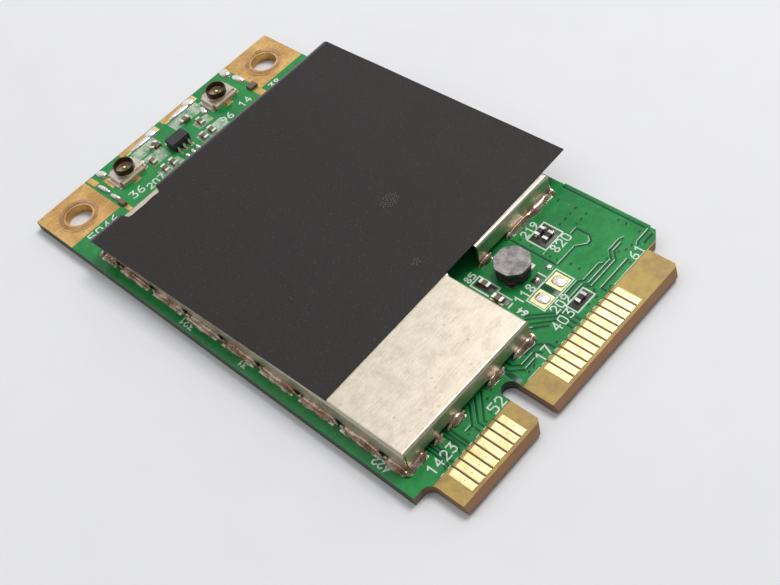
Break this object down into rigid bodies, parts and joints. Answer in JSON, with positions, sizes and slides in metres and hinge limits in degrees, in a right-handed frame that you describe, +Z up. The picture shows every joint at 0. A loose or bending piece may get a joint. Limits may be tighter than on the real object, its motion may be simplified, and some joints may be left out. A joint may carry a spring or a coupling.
{
  "type": "wifi module",
  "caption": "Flat green circuit card with a two-tongue edge connector, two corner holes, an L-shaped metal shield can under a black film, and two small antenna sockets.",
  "frame": {"origin": "centre of the card's underside", "axes": "+X across the card, +Y from the edge connector to the antenna end, +Z up out of the component face"},
  "size_m": [0.0315, 0.051, 0.0033],
  "materials": {
    "laminate": "satin",
    "solder_mask": "gloss",
    "legend": "matt",
    "gold": "satin",
    "copper_land": "satin",
    "solder": "satin",
    "shield": "satin",
    "film": "matt",
    "socket_sheet": "satin",
    "socket_base": "matt",
    "chip_resin": "matt",
    "ferrite": "matt",
    "winding": "matt",
    "resistor": "satin",
    "capacitor": "matt",
    "crystal_case": "satin"
  },
  "bodies": {
    "root": {"laminate": "laminate", "solder_mask_top": "solder_mask", "solder_mask_bottom": "solder_mask", "contacts_top_narrow": "gold", "contacts_top_wide": "gold", "contacts_bottom_narrow": "gold", "contacts_bottom_wide": "gold", "land_left": "copper_land", "land_right": "copper_land", "tracks": "solder_mask", "legend": "legend", "solder_pads": "gold", "solder_joints": "solder", "shield_pads": "solder", "shield_solder": "solder", "shield_can": "shield", "insulating_film": "film", "receptacle_shell_left": "socket_sheet", "receptacle_base_left": "socket_base", "receptacle_pin_left": "gold", "receptacle_shell_right": "socket_sheet", "receptacle_base_right": "socket_base", "receptacle_pin_right": "gold", "rf_switch_body": "chip_resin", "rf_switch_leads": "solder", "inductor_core": "ferrite", "inductor_winding": "winding", "inductor_terminals": "solder", "resistor_bodies": "resistor", "resistor_ends": "solder", "capacitor_bodies": "capacitor", "capacitor_ends": "solder", "processor": "chip_resin", "radio_chip": "chip_resin", "power_amp_left": "chip_resin", "power_amp_right": "chip_resin", "flash_memory": "chip_resin", "power_manager": "chip_resin", "crystal": "crystal_case", "hidden_capacitor_bodies": "capacitor", "hidden_capacitor_ends": "solder"}
  },
  "joints": []
}
